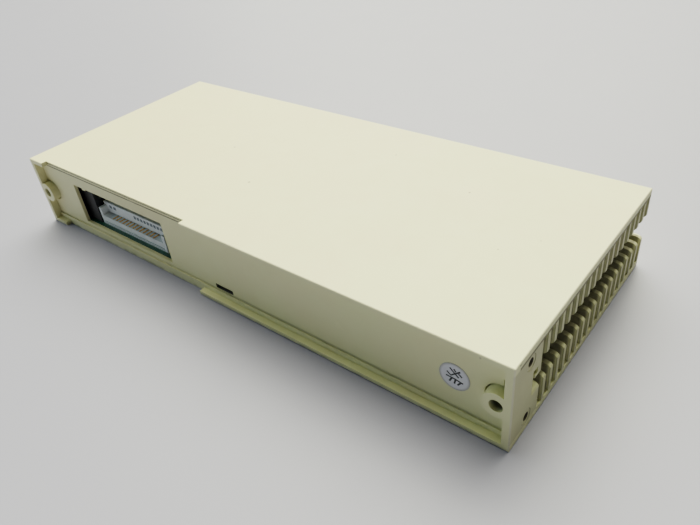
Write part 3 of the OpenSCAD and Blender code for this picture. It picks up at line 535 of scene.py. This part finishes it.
STEP_D = 3.2 * MM  # depth of the rear connector's open bed
FACING_FRONT = (math.pi / 2, 0, math.pi)
FACING_REAR = (math.pi / 2, 0, 0)
PRINT = 0.03 * MM  # thickness of printed ink


def numeral(text, size, place):
    """A raised numeral on the front."""
    deselect()
    bpy.ops.object.text_add(location=place, rotation=FACING_FRONT)
    letter = bpy.context.object
    letter.data.body = text
    letter.data.size = size
    letter.data.align_x = "CENTER"
    letter.data.align_y = "CENTER"
    letter.data.extrude = PRINT / 2
    letter.data.resolution_u = 4
    bpy.ops.object.convert(target="MESH")
    return bpy.context.object


def ink_strokes(lines, width, to_place, flat_scale):
    """Drawn strokes: tubes along the lines, pressed flat."""
    deselect()
    bpy.ops.curve.primitive_bezier_curve_add(location=(0, 0, 0))
    drawn = bpy.context.object
    curve = drawn.data
    curve.splines.clear()
    curve.dimensions = "3D"
    curve.bevel_depth = width / 2
    curve.bevel_resolution = 2
    curve.use_fill_caps = True
    for line in lines:
        spline = curve.splines.new("POLY")
        spline.points.add(len(line) - 1)
        for point, (u, v) in zip(spline.points, line):
            point.co = (u, 0, v, 1)
    bpy.ops.object.convert(target="MESH")
    drawn = bpy.context.object
    bpy.ops.object.mode_set(mode="EDIT")
    bpy.ops.mesh.select_all(action="SELECT")
    bpy.ops.transform.resize(value=flat_scale, center_override=(0, 0, 0))
    bpy.ops.transform.translate(value=to_place)
    bpy.ops.object.mode_set(mode="OBJECT")
    return drawn


def printed_frame(x, z, width, height, line, corner, y):
    """A printed line that runs round a rectangle with round corners, facing front."""
    deselect()
    bpy.ops.mesh.primitive_plane_add(size=1, location=(x, y, z), rotation=FACING_FRONT)
    outline = bpy.context.object
    outline.scale = (width, height, 1)
    bpy.ops.object.transform_apply(location=False, rotation=False, scale=True)
    bpy.ops.object.mode_set(mode="EDIT")
    bpy.ops.mesh.select_all(action="SELECT")
    bpy.ops.mesh.bevel(offset=corner, offset_type="OFFSET", segments=4, affect="VERTICES")
    bpy.ops.mesh.select_all(action="SELECT")
    bpy.ops.mesh.inset(thickness=line, use_boundary=True)
    bpy.ops.mesh.delete(type="FACE")
    bpy.ops.mesh.select_all(action="SELECT")
    bpy.ops.mesh.extrude_region_move(TRANSFORM_OT_translate={"value": (0, PRINT, 0)})
    bpy.ops.object.mode_set(mode="OBJECT")
    return outline


# ---- Settings ----


def colour_setting(name, description, default):
    """A colour that a user may change."""
    return bpy.props.FloatVectorProperty(
        name=name, description=description, default=default, min=0, max=1, size=3, subtype="COLOR"
    )


def length_setting(name, description, default):
    """A length in metres that a user may change."""
    return bpy.props.FloatProperty(
        name=name, description=description, default=default, min=0, precision=5, unit="LENGTH"
    )


class ModuleColours(bpy.types.PropertyGroup):
    """Colours of the module's finishes"""

    case_warm: colour_setting("Case, warm end", "Cream plastic at the connector's end", (0.79, 0.758, 0.420))
    case_cool: colour_setting("Case, cool end", "Cream plastic at the far end", (0.755, 0.778, 0.425))
    case_stain: colour_setting("Case stain", "Mottling of the cream plastic", (0.68, 0.63, 0.29))
    case_rose: colour_setting("Case blush", "Faint warm patches", (0.78, 0.66, 0.41))
    # Also the colour of the painted highlight along the module's outer edges
    case_edge: colour_setting("Case edge", "Rubbed outer edges", (0.88, 0.85, 0.66))
    # Also the colour of the painted shade behind the fins, in creases and holes, on the end faces and round
    # the sticker's rim
    dust: colour_setting("Dust", "Dust in corners and behind the fins", (0.115, 0.105, 0.072))
    speck: colour_setting("Specks", "Small dark specks", (0.22, 0.17, 0.10))
    board: colour_setting("Board", "Solder mask of the boards", (0.012, 0.085, 0.045))
    laminate: colour_setting("Board edge", "Sawn edge of the boards", (0.16, 0.22, 0.08))
    tin: colour_setting("Tin", "Tinned legs and pads", (0.62, 0.62, 0.60))
    connector: colour_setting("Rear connector", "White connector plastic", (0.80, 0.84, 0.84))
    gold: colour_setting("Contacts", "Gold-plated contacts", (0.83, 0.52, 0.20))
    paper: colour_setting("Paper", "Sticker and label", (0.74, 0.74, 0.78))
    ink: colour_setting("Ink", "Printed marks", (0.02, 0.02, 0.022))
    grey_ink: colour_setting("Grey ink", "Printed marks on the rear connector", (0.17, 0.20, 0.22))
    sleeve: colour_setting("Sleeves", "Capacitor sleeves", (0.02, 0.035, 0.12))
    button: colour_setting("Reset button", "Red button", (0.36, 0.014, 0.010))
    switch: colour_setting("Mode switch", "Body of the mode switch", (0.27, 0.014, 0.008))


class ModuleSizes(bpy.types.PropertyGroup):
    """Sizes of the printed marks and small fittings"""

    dial_numeral: length_setting("Dial numerals", "Height of the numerals round a dial", 1.7 * MM)
    dial_ring: length_setting("Dial ring", "Radius of the ring of numerals", 6.0 * MM)
    mode_numeral: length_setting("Mode numerals", "Height of the mode switch numerals", 1.5 * MM)
    line: length_setting("Printed line", "Width of the printed lines", 0.28 * MM)
    stroke: length_setting("Sticker stroke", "Width of the strokes on the sticker", 0.62 * MM)


class ModuleStage(bpy.types.PropertyGroup):
    """Floor, light and camera"""

    floor: colour_setting("Floor", "Colour of the floor", (0.302, 0.294, 0.435))
    sky: colour_setting("Fill", "Colour of the light from all round", (0.82, 0.94, 1.0))
    sky_strength: bpy.props.FloatProperty(
        name="Fill strength", description="Strength of the light from all round", default=0.045, min=0
    )
    key_power: bpy.props.FloatProperty(
        name="Key power", description="Power of the large overhead light", default=72, min=0, unit="POWER"
    )
    lens: bpy.props.FloatProperty(
        name="Lens", description="Focal length of the camera", default=32.7056, min=1, unit="CAMERA"
    )
    camera_place: bpy.props.FloatVectorProperty(
        name="Camera place",
        description="Where the camera stands",
        default=(0.172645, -0.163687, 0.158579),
        size=3,
        subtype="TRANSLATION",
        unit="LENGTH",
    )
    camera_turn: bpy.props.FloatVectorProperty(
        name="Camera turn",
        description="How the camera is turned",
        default=tuple(math.radians(angle) for angle in (53.544, 5.481, 38.406)),
        size=3,
        subtype="EULER",
        unit="ROTATION",
    )


# ---- Pieces ----


class MODULE_OT_case(bpy.types.Operator):
    """Moulded cream plastic on the covers, end blocks, rivets and rear panel"""

    bl_idname = "module.case"
    bl_label = "Case finish"

    def execute(self, context):
        plastic = case_plastic("case_plastic", context.scene.module_colours)
        dress(
            plastic,
            "bottom_cover",
            "top_cover",
            "end_block_left",
            "end_block_right",
            "cover_rivets",
            "rear_panel",
        )
        return {"FINISHED"}


class MODULE_OT_front(bpy.types.Operator):
    """Finishes of the front panel, its window, label and connector"""

    bl_idname = "module.front"
    bl_label = "Front finishes"

    def execute(self, context):
        colours = context.scene.module_colours
        dress(panel_plastic("front_panel_plastic", colours), "front_panel")
        dress(label_paper("label_paper", colours), "blank_label")
        smoke = clear_part("window_smoke", (0.085, 0.010, 0.008), (0.04, 0.005, 0.004), 0.60, 1.1 * MM)
        dress(smoke, "light_window")
        lamp = clear_part("light_green", (0.22, 0.5, 0.2), (0.12, 0.34, 0.12), 0.85, 0.5 * MM)
        dress(lamp, "status_lights")
        steel = plated("steel_plated", colours.tin, (0.36, 0.36, 0.34), lines=(4000, 300, 4000))
        dress(steel, "io_connector_shell", "jack_nuts")
        return {"FINISHED"}


class MODULE_OT_controls(bpy.types.Operator):
    """Finishes of the dials, mode switch and reset button"""

    bl_idname = "module.controls"
    bl_label = "Control finishes"

    def execute(self, context):
        colours = context.scene.module_colours
        body = moulded("switch_black", (0.03, 0.03, 0.034), 0.5 * MM, 0.42, wear=(0.09, 0.09, 0.09))
        dress(body, "unit_switch_bodies", "reset_switch_body")
        dial = moulded("dial_white", (0.74, 0.73, 0.66), 0.3 * MM, 0.3, wear=(0.60, 0.57, 0.47))
        dress(dial, "unit_dial_tens", "unit_dial_ones")
        dress(moulded("switch_red", colours.switch, 0.4 * MM, 0.34), "mode_switch_body")
        slider = moulded("slider_white", (0.78, 0.78, 0.75), 0.25 * MM, 0.3, wear=(0.6, 0.58, 0.5))
        dress(slider, *(f"mode_slider_{k}" for k in (1, 2, 3, 4)))
        dress(moulded("button_red", colours.button, 0.35 * MM, 0.28, Coat_Weight=0.3), "reset_button")
        return {"FINISHED"}


class MODULE_OT_boards(bpy.types.Operator):
    """Finishes of the printed boards and of the parts on them"""

    bl_idname = "module.boards"
    bl_label = "Board finishes"

    def execute(self, context):
        colours = context.scene.module_colours
        dress(board_laminate("board_laminate", colours), "main_board", "io_board")
        dress(board_laminate("board_laminate_upright", colours, upright=True), "front_board")
        on_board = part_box("main_board")[1].z
        on_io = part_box("io_board")[1].z
        black, grey = (0.022, 0.022, 0.025), (0.07, 0.07, 0.075)
        white, yellowed = (0.66, 0.66, 0.63), (0.5, 0.49, 0.42)
        # Half widths of the two kinds of chip body, and a pitch that leaves one row only
        narrow, wide = 3.13 * MM, 6.95 * MM
        one_row = 60 * MM

        def chip(name, metal, colour=black, wear=grey):
            return moulded(name, colour, 0.35 * MM, 0.5, wear=wear, metal=metal, colours=colours)

        dress(chip("chip_logic", legs_beside(narrow, -24 * MM, 13 * MM)), "logic_chips")
        dress(chip("chip_processor", legs_beside(wide, -2 * MM, one_row)), "processor_chip")
        dress(chip("chip_memory", legs_beside(wide, 22 * MM, one_row)), "memory_chip")
        pale = chip("coupler_white", legs_beside(narrow, 10 * MM, 14 * MM), white, yellowed)
        dress(pale, "photocouplers")
        dress(chip("chip_driver", legs_below(on_io + 1 * MM)), "driver_transistors")
        dress(chip("socket_black", None), "memory_socket", "stack_socket", "io_connector_insulator")
        dress(chip("header_black", pins_above(on_board + 5.42 * MM)), "stack_header")
        dress(chip("potting_black", None, (0.014, 0.014, 0.016), (0.04, 0.04, 0.042)), "power_converter")
        dress(moulded("sheet_black", (0.02, 0.02, 0.02), 0.9 * MM, 0.5), "insulation_sheet")
        feet = legs_below(on_board + 0.4 * MM)
        coat = moulded("resistor_red", (0.22, 0.04, 0.025), 0.8 * MM, 0.22, metal=feet, colours=colours)
        dress(coat, "resistor_networks")
        dress(moulded("ceramic_tan", (0.50, 0.23, 0.06), 0.6 * MM, 0.28), "bypass_capacitors")
        dress(moulded("ferrite_grey", (0.018, 0.02, 0.022), 0.4 * MM, 0.62), "choke_core")
        dress(sleeve("sleeve_blue", colours), "filter_capacitors")
        copper = plated("copper_wire", (0.62, 0.21, 0.07), (0.33, 0.12, 0.05), lines=(2500, 2500, 600))
        dress(copper, "choke_winding")
        zinc = plated("zinc", colours.tin, (0.42, 0.40, 0.32), rough=0.34, lines=(3000, 3000, 500))
        dress(zinc, "main_board_screws", "io_board_screws", "board_spacers", "clock_crystal")
        return {"FINISHED"}


class MODULE_OT_contacts(bpy.types.Operator):
    """Finishes of the rear connector, its contacts and the front contacts"""

    bl_idname = "module.contacts"
    bl_label = "Connector finishes"

    def execute(self, context):
        colours = context.scene.module_colours
        rubbed = tuple(part * 0.88 for part in colours.connector)
        shell = moulded("connector_white", colours.connector, 0.45 * MM, 0.32, wear=rubbed)
        dress(shell, "backplane_connector")
        dull = (0.55, 0.30, 0.12)
        gold = plated("contact_gold", colours.gold, dull, 0.4 * MM, 0.2, lines=(4000, 300, 4000))
        dress(gold, "backplane_contacts", "io_connector_contacts")
        return {"FINISHED"}


class MODULE_OT_sticker(bpy.types.Operator):
    """Paper of the round sticker, and a few plain strokes in ink on it"""

    bl_idname = "module.sticker"
    bl_label = "Inspection sticker"

    def execute(self, context):
        colours = context.scene.module_colours
        dress(sticker_paper("sticker_paper", colours), "inspection_sticker")
        centre = middle("inspection_sticker")
        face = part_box("inspection_sticker")[0].y
        lines = (
            ((-2.6, 1.2), (-1.2, 0.1), (2.0, 3.0)),
            ((-1.6, 3.1), (0.1, 1.5), (1.5, 0.3)),
            ((-2.9, -0.6), (0.1, -0.8), (3.0, -1.4)),
            ((-0.2, 3.2), (0.5, 2.2)),
            ((1.4, 2.0), (2.6, 1.0)),
            ((-1.7, -2.6), (-0.9, -0.9)),
            ((0.0, -2.9), (0.4, -1.0)),
            ((1.1, -2.9), (2.3, -1.3)),
        )
        strokes = [[(u * MM, v * MM) for u, v in line] for line in lines]
        width = context.scene.module_sizes.stroke
        mark = ink_strokes(strokes, width, (centre.x, face, centre.z), (1, 2 * PRINT / width, 1))
        settle(mark, "sticker_mark", "housing", ink("sticker_ink", colours.ink), 40)
        return {"FINISHED"}


class MODULE_OT_dial_print(bpy.types.Operator):
    """Numerals 0 to 9 round each dial, and a painted pointer in each dial"""

    bl_idname = "module.dial_print"
    bl_label = "Dial numerals"

    def execute(self, context):
        colours = context.scene.module_colours
        sizes = context.scene.module_sizes
        print_ink = ink("dial_ink", colours.ink)
        for which in ("tens", "ones"):
            dial = f"unit_dial_{which}"
            centre = middle(dial)
            y = FRONT_FACE_Y + PRINT / 2
            numerals = []
            for digit in range(10):
                angle = math.radians(36 * digit)
                x = centre.x - sizes.dial_ring * math.sin(angle)
                z = MID_Z + sizes.dial_ring * math.cos(angle)
                numerals.append(numeral(str(digit), sizes.dial_numeral, (x, y, z)))
            ring = merge(numerals)
            settle(ring, f"dial_numerals_{which}", "housing", print_ink)
            self.pointer(centre, dial, which, print_ink)
        return {"FINISHED"}

    def pointer(self, centre, dial, which, paint):
        """Paint in the pointer notch: a triangle whose tip is at the dial's rim."""
        low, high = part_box(dial)
        floor = high.y - 0.6 * MM
        deselect()
        bpy.ops.mesh.primitive_circle_add(
            vertices=3,
            radius=0.62 * MM,
            fill_type="NGON",
            location=(centre.x, floor - 0.02 * MM, high.z - 0.78 * MM),
            rotation=FACING_FRONT,
        )
        bpy.ops.object.mode_set(mode="EDIT")
        bpy.ops.mesh.select_all(action="SELECT")
        bpy.ops.mesh.bevel(offset=0.1 * MM, segments=3, affect="VERTICES")
        bpy.ops.mesh.select_all(action="SELECT")
        bpy.ops.mesh.extrude_region_move(TRANSFORM_OT_translate={"value": (0, 0.08 * MM, 0)})
        bpy.ops.object.mode_set(mode="OBJECT")
        piece = bpy.context.object
        settle(piece, f"dial_pointer_{which}", f"{which}_dial", paint)


class MODULE_OT_panel_print(bpy.types.Operator):
    """Printed lines round the front controls, and the mode switch's numerals"""

    bl_idname = "module.panel_print"
    bl_label = "Panel print"

    def execute(self, context):
        colours = context.scene.module_colours
        sizes = context.scene.module_sizes
        print_ink = ink("panel_ink", colours.ink)
        mode, reset = middle("mode_switch_body"), middle("reset_button")
        dials = (middle("unit_dial_tens").x + middle("unit_dial_ones").x) / 2
        window = middle("light_window")
        frames = (
            (dials, MID_Z, 32.6 * MM, 16.2 * MM),
            (mode.x, MID_Z - 1.0 * MM, 14.4 * MM, 12.4 * MM),
            (reset.x, MID_Z, 9.4 * MM, 9.4 * MM),
            (window.x, MID_Z, 44 * MM, 20 * MM),
        )
        lines = [
            printed_frame(x, z, width, height, sizes.line, 1.1 * MM, FRONT_FACE_Y)
            for x, z, width, height in frames
        ]
        settle(merge(lines), "panel_lines", "housing", print_ink)
        numerals = []
        for k in (1, 2, 3, 4):
            place = (middle(f"mode_slider_{k}").x, FRONT_FACE_Y + PRINT / 2, MID_Z - 5.0 * MM)
            numerals.append(numeral(str(k), sizes.mode_numeral, place))
        settle(merge(numerals), "mode_numerals", "housing", print_ink)
        return {"FINISHED"}


class MODULE_OT_label_print(bpy.types.Operator):
    """Frame and writing lines on the blank label"""

    bl_idname = "module.label_print"
    bl_label = "Label ruling"

    def execute(self, context):
        colours = context.scene.module_colours
        low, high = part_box("blank_label")
        centre = (low + high) / 2
        width, height = high.x - low.x, high.z - low.z
        pieces = [
            printed_frame(
                centre.x, centre.z, width - 1.6 * MM, height - 1.6 * MM, 0.2 * MM, 0.6 * MM, high.y
            )
        ]
        for row in range(4):
            z = low.z + height * (row + 1) / 5
            pieces.append(printed_frame(centre.x, z, width - 4 * MM, 0.3 * MM, 0.12 * MM, 0.05 * MM, high.y))
        ruling = merge(pieces)
        settle(ruling, "label_ruling", "housing", ink("label_ink", colours.grey_ink))
        return {"FINISHED"}


class MODULE_OT_connector_print(bpy.types.Operator):
    """Short printed bars on the rear connector, which stand for its print"""

    bl_idname = "module.connector_print"
    bl_label = "Connector marks"

    def execute(self, context):
        colours = context.scene.module_colours
        low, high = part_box("backplane_connector")
        bars = []
        spans = [(4.0, 2.0), (7.0, 2.2)] + [(23 + 2.4 * k, 1.7) for k in range(9)]
        for start, length in spans:
            deselect()
            place = (low.x + (start + length / 2) * MM, low.y + STEP_D, high.z - 1.9 * MM)
            bpy.ops.mesh.primitive_plane_add(size=1, location=place, rotation=FACING_REAR)
            bar = bpy.context.object
            bar.scale = (length * MM, 1.6 * MM, 1)
            bpy.ops.object.transform_apply(location=False, rotation=False, scale=True)
            bpy.ops.object.mode_set(mode="EDIT")
            bpy.ops.mesh.select_all(action="SELECT")
            bpy.ops.mesh.bevel(offset=0.15 * MM, segments=2, affect="VERTICES")
            bpy.ops.mesh.select_all(action="SELECT")
            bpy.ops.mesh.extrude_region_move(TRANSFORM_OT_translate={"value": (0, -PRINT, 0)})
            bpy.ops.object.mode_set(mode="OBJECT")
            bars.append(bar)
        grey = ink("connector_ink", colours.grey_ink)
        settle(merge(bars), "connector_marks", "housing", grey)
        return {"FINISHED"}


class MODULE_OT_stage(bpy.types.Operator):
    """Pale floor, a large soft light overhead, a fill from all round, and the camera"""

    bl_idname = "module.stage"
    bl_label = "Stage"

    def execute(self, context):
        stage = context.scene.module_stage
        deselect()
        just_below = (0, 0, -0.05 * MM)
        bpy.ops.mesh.primitive_grid_add(x_subdivisions=4, y_subdivisions=4, size=8, location=just_below)
        floor = bpy.context.object
        floor.name = "floor"
        f = Finish("floor")
        tone = f.mix(f.noise(0.5, 2.0), rgb(stage.floor, 0.985), rgb(stage.floor, 1.015))
        rough = 0.42 + f.noise(30 * MM, 2.0) * 0.08
        floor.data.materials.append(f.finish(Base_Color=tone, Roughness=rough, Specular_IOR_Level=0.35))

        self.sky(context, stage)
        self.lamp("sun", "SUN", (-0.34, 0.50, 1.0), stage.key_power * 0.112, (0.985, 1.0, 0.68)).angle = 1.15
        self.lamp("softbox", "AREA", (-0.45, 0.9, 0.9), stage.key_power * 0.5, (0.985, 1.0, 0.70)).size = 1.2
        self.lamp("side", "AREA", (-0.6, -0.4, 0.25), stage.key_power * 0.015, (0.72, 0.94, 1.0)).size = 0.5

        bpy.ops.object.camera_add(location=stage.camera_place, rotation=stage.camera_turn)
        camera = bpy.context.object
        camera.data.lens = stage.lens
        camera.data.sensor_width = 36
        camera.data.clip_start = 0.01
        context.scene.camera = camera
        return {"FINISHED"}

    def sky(self, context, stage):
        """An even fill from all round, with a pale backdrop where the camera looks past the floor."""
        world = bpy.data.worlds.new("studio")
        world.use_nodes = True
        tree = world.node_tree
        fill = tree.nodes["Background"]
        fill.inputs["Color"].default_value = rgb(stage.sky)
        fill.inputs["Strength"].default_value = stage.sky_strength
        backdrop = tree.nodes.new("ShaderNodeBackground")
        backdrop.inputs["Color"].default_value = (0.66, 0.66, 0.67, 1)
        backdrop.inputs["Strength"].default_value = 1.3
        seen = tree.nodes.new("ShaderNodeLightPath")
        both = tree.nodes.new("ShaderNodeMixShader")
        tree.links.new(seen.outputs["Is Camera Ray"], both.inputs[0])
        tree.links.new(fill.outputs[0], both.inputs[1])
        tree.links.new(backdrop.outputs[0], both.inputs[2])
        tree.links.new(both.outputs[0], tree.nodes["World Output"].inputs["Surface"])
        context.scene.world = world

    def lamp(self, name, kind, place, energy, colour):
        """A lamp at a place, turned towards the module."""
        turn = (-Vector(place)).to_track_quat("-Z", "Y").to_euler()
        bpy.ops.object.light_add(type=kind, location=place, rotation=turn)
        lamp = bpy.context.object
        lamp.name = name
        lamp.data.energy = energy
        lamp.data.color = colour
        return lamp.data


class MODULE_PT_looks(bpy.types.Panel):
    """Lists the steps that dress the module"""

    bl_idname = "MODULE_PT_looks"
    bl_label = "Controller module"
    bl_space_type = "VIEW_3D"
    bl_region_type = "UI"
    bl_category = "Module"

    def draw(self, context):
        for step in STEPS:
            self.layout.operator(step.bl_idname)
        for group in ("module_colours", "module_sizes", "module_stage"):
            settings = getattr(context.scene, group)
            for name in settings.bl_rna.properties.keys():
                if name not in ("rna_type", "name"):
                    self.layout.prop(settings, name)


STEPS = (
    MODULE_OT_case,
    MODULE_OT_front,
    MODULE_OT_controls,
    MODULE_OT_boards,
    MODULE_OT_contacts,
    MODULE_OT_sticker,
    MODULE_OT_dial_print,
    MODULE_OT_panel_print,
    MODULE_OT_label_print,
    MODULE_OT_connector_print,
    MODULE_OT_stage,
)
SETTINGS = {"module_colours": ModuleColours, "module_sizes": ModuleSizes, "module_stage": ModuleStage}


def register():
    for group in SETTINGS.values():
        bpy.utils.register_class(group)
    for cls in (*STEPS, MODULE_PT_looks):
        bpy.utils.register_class(cls)
    for name, group in SETTINGS.items():
        setattr(bpy.types.Scene, name, bpy.props.PointerProperty(type=group))


def unregister():
    for name in SETTINGS:
        delattr(bpy.types.Scene, name)
    for cls in (MODULE_PT_looks, *reversed(STEPS)):
        bpy.utils.unregister_class(cls)
    for group in SETTINGS.values():
        bpy.utils.unregister_class(group)


def main():
    register()
    for step in STEPS:
        area, name = step.bl_idname.split(".")
        getattr(getattr(bpy.ops, area), name)()


if __name__ == "__main__":
    main()
